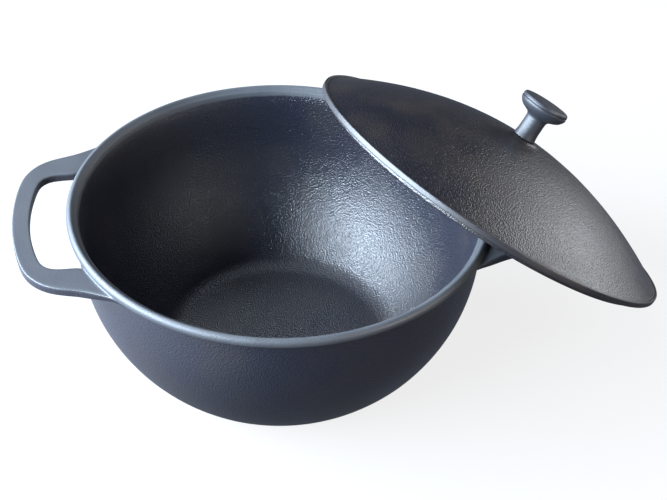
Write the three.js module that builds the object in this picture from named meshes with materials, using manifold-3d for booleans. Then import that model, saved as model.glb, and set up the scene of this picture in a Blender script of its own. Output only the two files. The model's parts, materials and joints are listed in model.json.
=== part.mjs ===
// Cast iron dutch oven: a one-piece pot with two loop handles, and a domed lid with a screwed-on knob.
// The lid leans on the pot, knob up, as it is left while someone cooks.
// Millimetres, +Z up. Origin: centre of the pot's flat underside. The handles lie along X.

import * as THREE from 'three';
import { mergeVertices } from 'three/addons/utils/BufferGeometryUtils.js';
import Module from 'manifold-3d';

const wasm = await Module();
wasm.setup();

// ---------- driving dimensions ----------

// pot casting
const potHeight = 127.4;
const rimRadius = 138;
const rimWidth = 7;
const rimBeadRadius = 3.4;
const rimLedgeDrop = 2.8; // the rim's top slopes down to its inner edge
const rimStep = 5; // the bead stands out this far from the wall
const rimUnderFillet = 1.2; // where the bead's underside runs into the wall
const rimInnerBevel = 0.5;
const rimSlopeRun = 1.1; // inside, the rim's underside slopes back to the wall: how far in, and how far down
const rimSlopeDrop = 5;
const wallThickness = 4.4;
const wallTaper = THREE.MathUtils.degToRad(2.4);
const shoulderDrop = 30; // straight wall from the rim down to where the side starts to curve
const baseRadius = 78.5; // where the curved side would meet the table
const baseFillet = 6;
const floorThickness = 5;
const floorFillet = 26;

// loop handles
const handleReach = 34; // from the rim's outside to the handle's outer edge
const handleThickness = 6;
const handleDrop = 4.2; // from the rim's top down to the handle's top face
const handleBar = 11; // width of the outer bar
const handleHalfLength = 67; // half of the loop's length along the rim, at its corners
const handleArm = 19; // width of each arm
const handleEdge = 1.3; // rounded edge of the plate
const rootFlare = 15; // each arm widens by this much where it runs into the rim
const cornerInset = 13; // the outer corners' pull points, in from the handle's outer edge
const armInset = 32; // where the arms start to turn, in from the outer edge
const barBow = 6; // the outer bar's middle stands out this far past its ends
const barEnd = 21; // where a corner runs into the bar, in from the loop's end
const openingBow = 5; // the same for the finger opening
const openingEnd = 10;
const cornerSlope = 2; // each arm widens the loop this much over its length

// lid casting
const lidInset = 1.8; // the lid's edge lies this far inside the rim's
const lidBeadWidth = 2.4;
const lidBeadHeight = 0.5;
const lidEdgeBevel = 0.7; // the bead's and the edge's rounded corners
const lidEdgeHeight = 3.7; // outer edge, from the groove down to the seat
const lidThickness = 4.6;
const lidDomeHeight = 38;
const skirtDepth = 3.6;
const skirtThickness = 4;
const skirtClearance = 1.5; // between the skirt and the pot's rim when the lid is on
const skirtBevel = 0.8;
const padRadius = 9.5; // raised pad under the knob
const padHeight = 1.1;
const padSlope = 4; // width of the slope from the pad down to the dome
const bossRadius = 11; // flat boss under the lid for the washers
const bossHeight = 0.3;
const bossSlope = 3;

// how the lid leans on the pot
const leanTilt = THREE.MathUtils.degToRad(34.8);
const leanBearing = THREE.MathUtils.degToRad(20);
const leanBeyondRim = 36.4; // where the lid's axis crosses the rim's plane, outside the rim
const leanAxisBearing = THREE.MathUtils.degToRad(12.7);
const leanClearance = 0.3;

// knob and its fastening
const knobFootRadius = 8.1;
const knobStemRadius = 7.4;
const knobStemHeight = 14.6;
const knobHeadRadius = 17.4;
const knobHeadFillet = 3.2; // from the stem out to the head's underside
const knobHeight = 28.3;
const knobCrown = 0.5;
const knobGrooveWidth = 0.7;
const knobGrooveDepth = 0.6;
const knobGrooveBelowTop = 2.5;
const knobTopBevel = 1.4;
const knobEdge = 0.4; // small rounded corners of the foot, the groove and the screw
const drillTip = 2; // the knob's screw hole ends this far past the screw
const screwRadius = 3;
const screwHeadRadius = 5.3;
const screwHeadHeight = 1.8;
const screwLength = 24;
const slotWidth = 1.6;
const slotDepth = 0.9;
const flatWasherRadius = 9;
const flatWasherThickness = 0.8;
const lockWasherRadius = 5.2;
const lockWasherThickness = 1;
const lockWasherSplit = 1.2;
const clearanceHole = 0.5; // screw to hole, all round
const gap = 0.3; // between faces that touch

// facets
const bigSegments = 56;
const smallSegments = 24;

// how closely the rim and the handle are looked at for where the lid could touch them
const rimAngleStep = THREE.MathUtils.degToRad(0.5);
const platePoints = 400;
const plateStep = 1.5;

// ---------- helpers ----------

const point = (x, y) => new THREE.Vector2(x, y);

// Points along a circular arc, from one angle to another.
function arc(centreX, centreY, radius, fromAngle, toAngle, steps) {
  const points = [];
  for (let i = 0; i <= steps; i += 1) {
    const angle = fromAngle + ((toAngle - fromAngle) * i) / steps;
    points.push(point(centreX + radius * Math.cos(angle), centreY + radius * Math.sin(angle)));
  }
  return points;
}

// A body of revolution about Z. The outline runs with the material on its left.
function turned(outline, segments) {
  const geometry = new THREE.LatheGeometry(outline, segments);
  geometry.rotateX(Math.PI / 2);
  return geometry;
}

function toSolid(geometry) {
  const bare = geometry.clone();
  bare.deleteAttribute('normal');
  bare.deleteAttribute('uv');
  const merged = mergeVertices(bare, 1e-4);
  return new wasm.Manifold(new wasm.Mesh({
    numProp: 3,
    vertProperties: new Float32Array(merged.attributes.position.array),
    triVerts: new Uint32Array(merged.index.array),
  }));
}

function toGeometry(solid) {
  const mesh = solid.getMesh();
  const geometry = new THREE.BufferGeometry();
  geometry.setAttribute('position', new THREE.BufferAttribute(mesh.vertProperties, 3));
  geometry.setIndex(new THREE.BufferAttribute(mesh.triVerts, 1));
  geometry.computeVertexNormals();
  return geometry;
}

function named(name, geometry, color, roughness, metalness) {
  const mesh = new THREE.Mesh(geometry, new THREE.MeshStandardMaterial({ color, roughness, metalness }));
  mesh.name = name;
  return mesh;
}

// ---------- pot casting: bowl, rim, base and both handles ----------

const wallTop = potHeight - 2 * rimBeadRadius; // underside of the rim's bead
const wallRadius = rimRadius - rimStep;
const shoulder = point(
  wallRadius - (shoulderDrop - 2 * rimBeadRadius) * Math.tan(wallTaper),
  potHeight - shoulderDrop,
);
// The side is one arc: it leaves the straight wall smoothly and lands on the base's edge.
const outward = point(Math.cos(wallTaper), -Math.sin(wallTaper));
const chord = point(shoulder.x - baseRadius, shoulder.y);
const sideRadius = chord.lengthSq() / (2 * chord.dot(outward));
const sideCentre = point(shoulder.x - sideRadius * outward.x, shoulder.y - sideRadius * outward.y);

// Centre of a fillet between the side's arc and a level face.
function filletCentre(arcRadius, level, fillet) {
  const reach = arcRadius - fillet;
  const rise = sideCentre.y - level - fillet;
  return point(sideCentre.x + Math.sqrt(reach * reach - rise * rise), level + fillet);
}

function potProfile() {
  const innerRadius = sideRadius - wallThickness;
  const outerFillet = filletCentre(sideRadius, 0, baseFillet);
  const innerFillet = filletCentre(innerRadius, floorThickness, floorFillet);
  const outerTurn = Math.atan2(outerFillet.y - sideCentre.y, outerFillet.x - sideCentre.x);
  const innerTurn = Math.atan2(innerFillet.y - sideCentre.y, innerFillet.x - sideCentre.x);
  const beadX = rimRadius - rimBeadRadius;
  const beadY = potHeight - rimBeadRadius;
  const rimInner = rimRadius - rimWidth;
  const innerWall = wallRadius - wallThickness;
  return [
    point(0, 0),
    ...arc(outerFillet.x, outerFillet.y, baseFillet, -Math.PI / 2, outerTurn, 3),
    ...arc(sideCentre.x, sideCentre.y, sideRadius, outerTurn, -wallTaper, 9).slice(1),
    point(wallRadius, wallTop - rimUnderFillet),
    point(wallRadius + rimUnderFillet, wallTop + rimUnderFillet / 4),
    ...arc(beadX, beadY, rimBeadRadius, -Math.PI / 3, Math.PI / 2, 5),
    point(rimInner + rimInnerBevel, potHeight - rimLedgeDrop),
    point(rimInner, potHeight - rimLedgeDrop - rimInnerBevel),
    point(innerWall + rimSlopeRun, wallTop - rimSlopeRun / 2),
    point(innerWall, wallTop - rimSlopeDrop),
    ...arc(sideCentre.x, sideCentre.y, innerRadius, -wallTaper, innerTurn, 9),
    ...arc(innerFillet.x, innerFillet.y, floorFillet, innerTurn, -Math.PI / 2, 4).slice(1),
    point(0, floorThickness),
  ];
}

const handleTop = potHeight - handleDrop;
const handleOuter = rimRadius + handleReach;

// The loop seen from above: out along its outer edge from the front root to the back root, and back along
// the finger opening. Both arms end inside the pot's wall.
function handleOutline() {
  const buriedRadius = rimRadius - rimStep - wallThickness / 2;
  const rootHalf = handleHalfLength + rootFlare;
  const rootX = Math.sqrt(rimRadius * rimRadius - rootHalf * rootHalf);
  const rootAngle = Math.atan2(rootHalf, rootX);
  const rootEdge = point(rootX + cornerSlope, rootHalf - handleEdge / 2);
  const flarePull = point(rimRadius - 2 * barBow, handleHalfLength + 2 * cornerSlope);
  const armEnd = point(handleOuter - armInset, handleHalfLength + cornerSlope);
  const cornerPull = point(handleOuter - cornerInset, handleHalfLength - cornerSlope);
  const barStart = point(handleOuter - barBow, handleHalfLength - barEnd);
  const barPull = handleOuter + barBow;
  const outline = new THREE.Shape();
  outline.moveTo(buriedRadius * Math.cos(rootAngle), -buriedRadius * Math.sin(rootAngle));
  outline.lineTo(rootEdge.x, -rootEdge.y);
  outline.quadraticCurveTo(flarePull.x, -flarePull.y, armEnd.x, -armEnd.y);
  outline.quadraticCurveTo(cornerPull.x, -cornerPull.y, barStart.x, -barStart.y);
  outline.quadraticCurveTo(barPull, 0, barStart.x, barStart.y);
  outline.quadraticCurveTo(cornerPull.x, cornerPull.y, armEnd.x, armEnd.y);
  outline.quadraticCurveTo(flarePull.x, flarePull.y, rootEdge.x, rootEdge.y);

  const openingHalf = handleHalfLength - handleArm;
  const openingAngle = Math.asin(openingHalf / buriedRadius);
  const bar = handleOuter - handleBar;
  const openingArm = point(rimRadius + cornerSlope, openingHalf + cornerSlope / 2);
  const openingPull = point(bar - openingBow - cornerSlope * 1.5, openingHalf + cornerSlope);
  const openingBar = point(bar - openingBow, openingHalf - openingEnd);
  outline.absarc(0, 0, buriedRadius, rootAngle, openingAngle, true);
  outline.lineTo(openingArm.x, openingArm.y);
  outline.quadraticCurveTo(openingPull.x, openingPull.y, openingBar.x, openingBar.y);
  outline.quadraticCurveTo(bar + openingBow, 0, openingBar.x, -openingBar.y);
  outline.quadraticCurveTo(openingPull.x, -openingPull.y, openingArm.x, -openingArm.y);
  outline.absarc(0, 0, buriedRadius, -openingAngle, -rootAngle, true);
  return outline;
}

function handlePlate() {
  const plate = new THREE.ExtrudeGeometry(handleOutline(), {
    depth: handleThickness - 2 * handleEdge,
    bevelEnabled: true,
    bevelSize: handleEdge,
    bevelThickness: handleEdge,
    bevelOffset: -handleEdge,
    bevelSegments: 2,
    curveSegments: 6,
  });
  plate.translate(0, 0, handleTop - handleThickness + handleEdge);
  return plate;
}

function potBody() {
  const bowl = toSolid(turned(potProfile(), bigSegments));
  const right = handlePlate();
  const left = handlePlate();
  left.rotateZ(Math.PI);
  return toGeometry(bowl.add(toSolid(right)).add(toSolid(left)));
}

// ---------- lid casting ----------
// Lid parts are built about their own axis. Height 0 is the bottom of the groove beside the edge bead.

const lidRadius = rimRadius - lidInset;
const grooveRadius = lidRadius - lidBeadWidth;
const skirtOuter = rimRadius - rimWidth - skirtClearance;
const skirtInner = skirtOuter - skirtThickness;
const skirtBottom = -lidEdgeHeight - skirtDepth;
const boreRadius = screwRadius + clearanceHole;
const domeHeightAt = (radius) => lidDomeHeight * (1 - (radius / grooveRadius) ** 2);
const undersideAt = (radius) => domeHeightAt(radius) - lidThickness;
const padTop = lidDomeHeight + padHeight;
const bossBottom = undersideAt(0) - bossHeight;

function lidProfile() {
  const rings = 7;
  const dome = [];
  const hollow = [];
  for (let i = 0; i <= rings; i += 1) {
    const outerRadius = THREE.MathUtils.lerp(grooveRadius, padRadius + padSlope, i / rings);
    const innerRadius = THREE.MathUtils.lerp(bossRadius + bossSlope, skirtInner, i / rings);
    dome.push(point(outerRadius, domeHeightAt(outerRadius)));
    hollow.push(point(innerRadius, undersideAt(innerRadius)));
  }
  return [
    point(boreRadius, bossBottom),
    point(bossRadius, bossBottom),
    ...hollow,
    point(skirtInner, skirtBottom + skirtBevel),
    point(skirtInner + skirtBevel, skirtBottom),
    point(skirtOuter - skirtBevel, skirtBottom),
    point(skirtOuter, skirtBottom + skirtBevel),
    point(skirtOuter, -lidEdgeHeight),
    point(lidRadius - lidEdgeBevel, -lidEdgeHeight),
    point(lidRadius, -lidEdgeHeight + lidEdgeBevel),
    point(lidRadius, lidBeadHeight - lidEdgeBevel),
    point(lidRadius - lidEdgeBevel, lidBeadHeight),
    point(lidRadius - 2 * lidEdgeBevel, lidBeadHeight),
    ...dome,
    point(padRadius, padTop),
    point(boreRadius, padTop),
    point(boreRadius, bossBottom),
  ];
}

// ---------- knob and fasteners ----------

const knobFoot = padTop + gap;
const washerTop = bossBottom - gap;
const lockTop = washerTop - flatWasherThickness - gap;
const screwSeat = lockTop - lockWasherThickness - gap;
const screwTip = screwSeat + screwLength;

// The head's underside curves out from the fillet to the groove: shares of its radius and of its depth.
const knobHeadCurve = [
  [0.66, 0.09],
  [0.84, 0.27],
  [0.945, 0.56],
  [1, 0.94],
];

function knobProfile() {
  const grooveTop = knobHeight - knobGrooveBelowTop;
  const grooveBottom = grooveTop - knobGrooveWidth;
  const grooveRadius = knobHeadRadius - knobGrooveDepth;
  const underside = knobStemHeight + knobHeadFillet;
  const at = (radius, height) => point(radius, knobFoot + height);
  const headCurve = knobHeadCurve.map(([reach, rise]) => (
    at(knobHeadRadius * reach, THREE.MathUtils.lerp(underside, grooveBottom, rise))
  ));
  return [
    point(0, screwTip + drillTip),
    point(screwRadius + gap, screwTip + drillTip / 2),
    at(screwRadius + gap, 0),
    at(knobFootRadius - knobEdge, 0),
    at(knobFootRadius, knobEdge),
    at(knobStemRadius, knobStemHeight / 2),
    at(knobStemRadius, knobStemHeight),
    at(knobStemRadius + knobHeadFillet * 0.16, knobStemHeight + knobHeadFillet * 0.56),
    at(knobStemRadius + knobHeadFillet * 0.66, underside),
    ...headCurve,
    at(grooveRadius, grooveBottom + knobGrooveWidth / 4),
    at(grooveRadius, grooveTop - knobGrooveWidth / 4),
    at(knobHeadRadius, grooveTop),
    at(knobHeadRadius - knobEdge, knobHeight - knobTopBevel / 2),
    at(knobHeadRadius - knobTopBevel, knobHeight),
    at(knobHeadRadius / 2, knobHeight + knobCrown * 0.75),
    at(0, knobHeight + knobCrown),
  ];
}

// Pan head screw, pointing up, with a straight slot.
function screw() {
  const headBottom = screwSeat - screwHeadHeight;
  const body = turned([
    point(0, headBottom),
    point(screwHeadRadius * 0.7, headBottom + screwHeadHeight * 0.1),
    point(screwHeadRadius - knobEdge, headBottom + screwHeadHeight * 0.5),
    point(screwHeadRadius, screwSeat - screwHeadHeight * 0.2),
    point(screwHeadRadius, screwSeat),
    point(screwRadius, screwSeat),
    point(screwRadius, screwTip - 2 * knobEdge),
    point(screwRadius - 2 * knobEdge, screwTip),
    point(0, screwTip),
  ], smallSegments);
  const slot = new THREE.BoxGeometry(3 * screwHeadRadius, slotWidth, 2 * slotDepth);
  slot.translate(0, 0, headBottom);
  return toGeometry(toSolid(body).subtract(toSolid(slot)));
}

function ring(inner, outer, bottom, top) {
  return turned([
    point(inner, bottom),
    point(outer, bottom),
    point(outer, top),
    point(inner, top),
    point(inner, bottom),
  ], smallSegments);
}

function flatWasher() {
  return ring(screwRadius + gap, flatWasherRadius, washerTop - flatWasherThickness, washerTop);
}

// A spring washer: a ring with a slanted cut through one side.
function lockWasher() {
  const body = ring(screwRadius + gap, lockWasherRadius, lockTop - lockWasherThickness, lockTop);
  const cut = new THREE.BoxGeometry(2 * lockWasherRadius, lockWasherSplit, 4 * lockWasherThickness);
  cut.rotateX(Math.PI / 6);
  cut.translate(lockWasherRadius, 0, lockTop - lockWasherThickness / 2);
  return toGeometry(toSolid(body).subtract(toSolid(cut)));
}

// ---------- where the leaning lid comes to rest ----------

// Whether a point seen from above lies on the handle's plate.
function onPlate(plate, x, y) {
  let inside = false;
  plate.forEach((corner, index) => {
    const next = plate[(index + 1) % plate.length];
    if ((corner.y > y) === (next.y > y)) return;
    const crossing = corner.x + ((y - corner.y) / (next.y - corner.y)) * (next.x - corner.x);
    if (x < crossing) inside = !inside;
  });
  return inside;
}

// Places on top of the pot that the lid could touch: round the rim, and round the right handle.
function restingPlaces() {
  const places = [];
  const rimTouch = [
    [rimRadius, potHeight - rimBeadRadius],
    [rimRadius - rimBeadRadius * 0.3, potHeight - rimBeadRadius * 0.3],
    [rimRadius - rimBeadRadius, potHeight],
    [rimRadius - rimWidth, potHeight - rimLedgeDrop],
  ];
  for (let angle = 0; angle < 2 * Math.PI; angle += rimAngleStep) {
    for (const [radius, height] of rimTouch) {
      places.push(new THREE.Vector3(radius * Math.cos(angle), radius * Math.sin(angle), height));
    }
  }
  const plate = handleOutline().getSpacedPoints(platePoints);
  for (const edge of plate) {
    places.push(new THREE.Vector3(edge.x, edge.y, handleTop));
  }
  const halfLength = handleHalfLength + rootFlare;
  for (let x = 0; x < handleOuter; x += plateStep) {
    for (let y = -halfLength; y < halfLength; y += plateStep) {
      if (onPlate(plate, x, y)) places.push(new THREE.Vector3(x, y, handleTop));
    }
  }
  return places;
}

// The lid's lower surface, at a distance from its axis.
function lowerSurface(radius) {
  if (radius <= screwHeadRadius) return screwSeat - screwHeadHeight;
  if (radius <= flatWasherRadius) return washerTop - flatWasherThickness;
  if (radius <= bossRadius) return bossBottom;
  if (radius < skirtInner) return undersideAt(radius);
  if (radius <= skirtOuter) return skirtBottom;
  return radius <= lidRadius ? -lidEdgeHeight : Infinity;
}

// The lid is let down along its own axis until it meets the pot.
function leaningPlace() {
  const lift = new THREE.Vector3(
    Math.sin(leanTilt) * Math.cos(leanBearing),
    Math.sin(leanTilt) * Math.sin(leanBearing),
    Math.cos(leanTilt),
  );
  const reach = rimRadius + leanBeyondRim;
  const crossing = new THREE.Vector3(
    reach * Math.cos(leanAxisBearing),
    reach * Math.sin(leanAxisBearing),
    potHeight,
  );
  let height = -Infinity;
  for (const place of restingPlaces()) {
    const offset = place.clone().sub(crossing);
    const along = offset.dot(lift);
    const radius = offset.addScaledVector(lift, -along).length();
    height = Math.max(height, along - lowerSurface(radius));
  }
  return crossing.addScaledVector(lift, height + leanClearance);
}

// ---------- assembly ----------

const dutchOven = new THREE.Group();
dutchOven.add(named('pot_body', potBody(), 0x2b2d33, 0.55, 0.4));

const leaningLid = new THREE.Group();
leaningLid.position.copy(leaningPlace());
leaningLid.rotation.set(0, leanTilt, leanBearing, 'ZYX');
leaningLid.add(
  named('lid', turned(lidProfile(), bigSegments), 0x2a2a2e, 0.5, 0.4),
  named('knob', turned(knobProfile(), smallSegments), 0x3a3d45, 0.4, 0.6),
  named('knob_screw', screw(), 0x8c8c90, 0.35, 1),
  named('flat_washer', flatWasher(), 0x97979b, 0.35, 1),
  named('lock_washer', lockWasher(), 0x7d7d82, 0.35, 1),
);
dutchOven.add(leaningLid);
dutchOven.updateMatrixWorld(true);

export default dutchOven;
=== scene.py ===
"""Cast iron dutch oven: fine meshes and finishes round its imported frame, with a plain stage to see it on.

Every size is in metres and every piece is made where it stands. The lid and what is screwed to it are
made upright about their own axis, and are then laid over to where the lid leans on the pot.
"""

import json
import math

import bmesh
import bpy
from mathutils import Matrix, Vector


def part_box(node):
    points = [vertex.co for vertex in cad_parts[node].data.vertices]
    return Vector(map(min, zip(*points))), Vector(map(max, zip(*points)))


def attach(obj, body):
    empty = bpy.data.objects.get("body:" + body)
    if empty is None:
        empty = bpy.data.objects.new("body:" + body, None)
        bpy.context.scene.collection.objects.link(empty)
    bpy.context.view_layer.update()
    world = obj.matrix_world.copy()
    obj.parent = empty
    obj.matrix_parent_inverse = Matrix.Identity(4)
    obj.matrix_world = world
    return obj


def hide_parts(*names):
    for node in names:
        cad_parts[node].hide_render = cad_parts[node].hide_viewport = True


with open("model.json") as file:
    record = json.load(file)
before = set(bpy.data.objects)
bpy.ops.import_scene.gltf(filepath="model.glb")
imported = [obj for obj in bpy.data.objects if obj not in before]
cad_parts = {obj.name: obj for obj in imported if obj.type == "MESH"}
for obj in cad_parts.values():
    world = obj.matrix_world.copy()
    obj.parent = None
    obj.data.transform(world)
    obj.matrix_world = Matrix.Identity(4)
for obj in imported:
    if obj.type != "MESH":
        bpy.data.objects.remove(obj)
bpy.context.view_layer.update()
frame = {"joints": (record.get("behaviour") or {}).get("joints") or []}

bl_info = {
    "name": "Cast iron dutch oven",
    "version": (1, 0, 0),
    "blender": (4, 5, 0),
    "location": "View3D > Sidebar > Dutch oven",
    "description": "Makes a cast iron dutch oven with a domed lid and a turned knob",
    "category": "Add Mesh",
}

POT_LOW, POT_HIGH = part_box("pot_body")
KNOB_JOINT = next(joint for joint in frame["joints"] if joint["name"] == "knob_turn")
MM = 0.001
SAME_PLACE = 0.001 * MM
SHARP_ANGLE = math.radians(40)
WASHER_EDGE = 0.2 * MM
SCREW_STEPS = 48
WASHER_STEPS = 96
LIGHT_AIM = Vector((0, 0, 0.08))
ROOM_GLOW = (0.036, 0.039, 0.060, 1)
BACKDROP = (0.88, 0.88, 0.88, 1)


# ---------- properties ----------


def size(name, description, millimetres):
    return bpy.props.FloatProperty(
        name=name, description=description, default=millimetres * MM, unit="LENGTH", precision=5
    )


def count(name, description, default):
    return bpy.props.IntProperty(name=name, description=description, default=default, min=3)


def tint(name, description, default):
    return bpy.props.FloatVectorProperty(
        name=name, description=description, default=default, subtype="COLOR", min=0, max=1
    )


def angle(name, description, degrees):
    return bpy.props.FloatProperty(
        name=name, description=description, default=math.radians(degrees), unit="ROTATION"
    )


class PotSizes(bpy.types.PropertyGroup):
    """Sizes of the pot casting."""

    height: bpy.props.FloatProperty(
        name="Height", description="Table to the top of the rim", default=POT_HIGH.z, unit="LENGTH"
    )
    rim_radius: size("Rim radius", "Outside of the rim's bead", 138)
    rim_width: size("Rim width", "Outside of the bead to the rim's inner edge", 7)
    bead_radius: size("Bead radius", "Round outer part of the rim", 3.4)
    ledge_drop: size("Ledge drop", "How far the rim's top slopes down to its inner edge", 2.8)
    rim_step: size("Rim step", "How far the bead stands out from the wall", 5)
    wall: size("Wall", "Thickness of the wall", 4.4)
    wall_taper: angle("Wall taper", "Lean of the straight upper wall", 2.4)
    shoulder_drop: size("Shoulder drop", "Rim's top down to where the side starts to curve", 30)
    base_radius: size("Base radius", "Where the curved side would meet the table", 78.5)
    base_fillet: size("Base fillet", "Rounding between side and underside", 6)
    floor: size("Floor", "Thickness of the floor", 5)
    floor_fillet: size("Floor fillet", "Rounding between side and floor, inside", 26)
    segments: count("Segments", "Steps round the bowl before smoothing", 100)


class HandleSizes(bpy.types.PropertyGroup):
    """Sizes of the two loop handles."""

    outer: bpy.props.FloatProperty(
        name="Outer edge", description="Pot's axis to the handle's outer edge", default=POT_HIGH.x,
        unit="LENGTH",
    )
    drop: size("Drop", "Rim's top down to the handle's top face", 4.2)
    thickness: size("Thickness", "Thickness of the plate", 6)
    bar: size("Bar", "Width of the outer bar", 11)
    half_length: size("Half length", "Half of the loop's length along the rim", 67)
    arm: size("Arm", "Width of each arm", 19)
    bar_inset: size("Bar inset", "Outer edge in to the ends of the bar", 6)
    bar_end: size("Bar end", "Half length less this is where a corner starts", 21)
    corner_inset: size("Corner inset", "Outer edge in to the tip of a corner", 13)
    arm_inset: size("Arm inset", "Outer edge in to where an arm runs straight", 32)
    root_start: bpy.props.IntProperty(
        name="Root start", description="Steps round the bowl from the handle's middle to its root", default=6
    )


class LidSizes(bpy.types.PropertyGroup):
    """Sizes of the lid casting."""

    inset: size("Inset", "How far the lid's edge lies inside the rim's", 1.8)
    bead_width: size("Bead width", "Fine raised bead round the edge", 2.4)
    bead_height: size("Bead height", "Height of the edge bead over its groove", 0.5)
    edge_height: size("Edge height", "Groove down to the seat", 3.7)
    thickness: size("Thickness", "Thickness of the dome", 4.6)
    dome_height: size("Dome height", "Rise of the dome over the groove", 38)
    skirt_depth: size("Skirt depth", "How far the skirt reaches below the seat", 3.6)
    skirt_thickness: size("Skirt thickness", "Thickness of the skirt", 4)
    skirt_clearance: size("Skirt clearance", "Skirt to the rim's inner edge when the lid is on", 1.5)
    pad_radius: size("Pad radius", "Raised pad under the knob", 9.5)
    pad_height: size("Pad height", "Height of the pad over the dome", 1.1)
    boss_radius: size("Boss radius", "Flat boss under the lid for the washers", 11)
    boss_height: size("Boss height", "Height of the boss", 0.3)
    bore: size("Bore", "Radius of the hole for the screw", 3.5)
    segments: count("Segments", "Steps round the lid before smoothing", 96)


class KnobSizes(bpy.types.PropertyGroup):
    """Sizes of the knob and of what fastens it."""

    foot_radius: size("Foot radius", "Edge that stands on the lid", 8.1)
    stem_radius: size("Stem radius", "Stem under the head", 7.4)
    stem_height: size("Stem height", "Foot to the head's underside fillet", 14.6)
    head_radius: size("Head radius", "Widest part of the head", 17.4)
    head_fillet: size("Head fillet", "Top of the stem up to the head's underside", 3.2)
    height: size("Height", "Foot to the edge of the top", 28.3)
    crown: size("Crown", "Rise of the top's middle", 0.5)
    groove_width: size("Groove width", "Fine groove round the head", 0.7)
    groove_depth: size("Groove depth", "Depth of that groove", 0.6)
    groove_below_top: size("Groove below top", "Top's edge down to the groove", 2.5)
    segments: count("Segments", "Steps round the knob before smoothing", 64)
    screw_radius: size("Screw radius", "Over the thread", 3)
    thread_pitch: size("Thread pitch", "Rise of one turn of the thread", 1)
    thread_depth: size("Thread depth", "Crest to root", 0.6)
    screw_length: size("Screw length", "Under the head to the tip", 24)
    screw_head_radius: size("Screw head radius", "Pan head", 5.3)
    screw_head_height: size("Screw head height", "Pan head", 1.8)
    slot_width: size("Slot width", "Screwdriver slot", 1.6)
    slot_depth: size("Slot depth", "Screwdriver slot", 0.9)
    flat_washer_radius: size("Flat washer radius", "Outside", 9)
    flat_washer_thickness: size("Flat washer thickness", "Sheet it is punched from", 0.8)
    lock_washer_radius: size("Lock washer radius", "Outside", 5.2)
    lock_washer_thickness: size("Lock washer thickness", "Section of its wire", 1)
    lock_washer_split: size("Lock washer split", "Gap in the ring", 1.2)
    gap: size("Gap", "Between faces that touch", 0.3)


class Finishes(bpy.types.PropertyGroup):
    """Colours and surfaces."""

    pot_iron: tint("Pot iron", "Seasoned iron of the pot", (0.0085, 0.0092, 0.0150))
    lid_iron: tint("Lid iron", "Seasoned iron of the lid", (0.0060, 0.0056, 0.0080))
    knob_iron: tint("Knob iron", "Turned and seasoned iron", (0.014, 0.016, 0.021))
    warm_film: tint("Warm film", "Thin brown oil film in patches", (0.018, 0.012, 0.009))
    # Worn skin that is also a painted highlight: lighter, bluish iron on the rim and handle tops.
    worn_and_highlit_iron: tint("Rubbed iron", "Iron where the skin is worn thin", (0.052, 0.056, 0.062))
    steel: tint("Steel", "Plated fasteners", (0.45, 0.45, 0.46))
    grain_size: size("Grain size", "Lumps of the moulding sand", 1.0)
    grain_depth: size("Grain depth", "Height of those lumps", 0.40)
    # The worn skin and its painted highlight lie above this height and outside this radius.
    wear_and_highlight_above: size("Worn above", "Height on the pot where the skin starts to be worn", 121.6)
    wear_and_highlight_outside: size("Worn outside", "Distance from the pot's axis where the wear starts", 129)


class StageSettings(bpy.types.PropertyGroup):
    """Camera, floor and light."""

    camera_place: bpy.props.FloatVectorProperty(
        name="Camera place", description="Where the camera stands", default=(-0.1013, -0.7209, 0.6734),
        subtype="XYZ",
    )
    camera_aim: bpy.props.FloatVectorProperty(
        name="Camera aim", description="What the camera looks at", default=(0.0254, -0.0563, 0.126),
        subtype="XYZ",
    )
    camera_roll: angle("Camera roll", "Turn about the line of sight", 2.12)
    lens: bpy.props.FloatProperty(name="Lens", description="Focal length in millimetres", default=75.56)
    floor_colour: tint("Floor colour", "Plain pale floor", (0.88, 0.88, 0.88))
    floor_half: size("Floor half width", "Half the floor's side", 8000)
    floor_drop: size("Floor drop", "Keeps the floor clear of the pot's uneven underside", 0.15)


# ---------- mesh helpers ----------


def arc(centre, radius, start, end, steps):
    """Points of a smoothing cage round an arc, pushed out so that the smoothed curve has the radius."""
    step = (end - start) / steps
    cage = radius * 3 / (2 + math.cos(step))
    angles = [start + step * i for i in range(steps + 1)]
    return [(centre[0] + cage * math.cos(a), centre[1] + cage * math.sin(a)) for a in angles]


def between(start, end, steps):
    """Points along a straight line, both ends among them."""
    spread = [i / steps for i in range(steps + 1)]
    return [(start[0] + (end[0] - start[0]) * t, start[1] + (end[1] - start[1]) * t) for t in spread]


def curve(start, pull, end, t):
    """A point of a quadratic curve."""
    return start.lerp(pull, t).lerp(pull.lerp(end, t), t)


def spin_outline(outline, segments, closed=False):
    """A full turn of an outline of (radius, height) points about Z."""
    bm = bmesh.new()
    points = [bm.verts.new((radius, 0, height)) for radius, height in outline]
    pairs = list(zip(points, points[1:]))
    if closed:
        pairs.append((points[-1], points[0]))
    edges = [bm.edges.new(pair) for pair in pairs]
    bmesh.ops.spin(
        bm, geom=points + edges, cent=(0, 0, 0), axis=(0, 0, 1), angle=math.tau,
        steps=segments, use_merge=True, use_duplicate=False,
    )
    bmesh.ops.remove_doubles(bm, verts=bm.verts, dist=SAME_PLACE)
    bmesh.ops.recalc_face_normals(bm, faces=bm.faces)
    return bm


def lid_place():
    """Turns and moves a piece made upright about the lid's axis to where the leaning lid is."""
    axis = Vector(KNOB_JOINT["axis"]).normalized()
    tilt = math.acos(axis.z)
    bearing = math.atan2(axis.y, axis.x)
    turn = Matrix.Rotation(bearing, 4, "Z") @ Matrix.Rotation(tilt, 4, "Y")
    return Matrix.Translation(KNOB_JOINT["pos_m"]) @ turn


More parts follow.
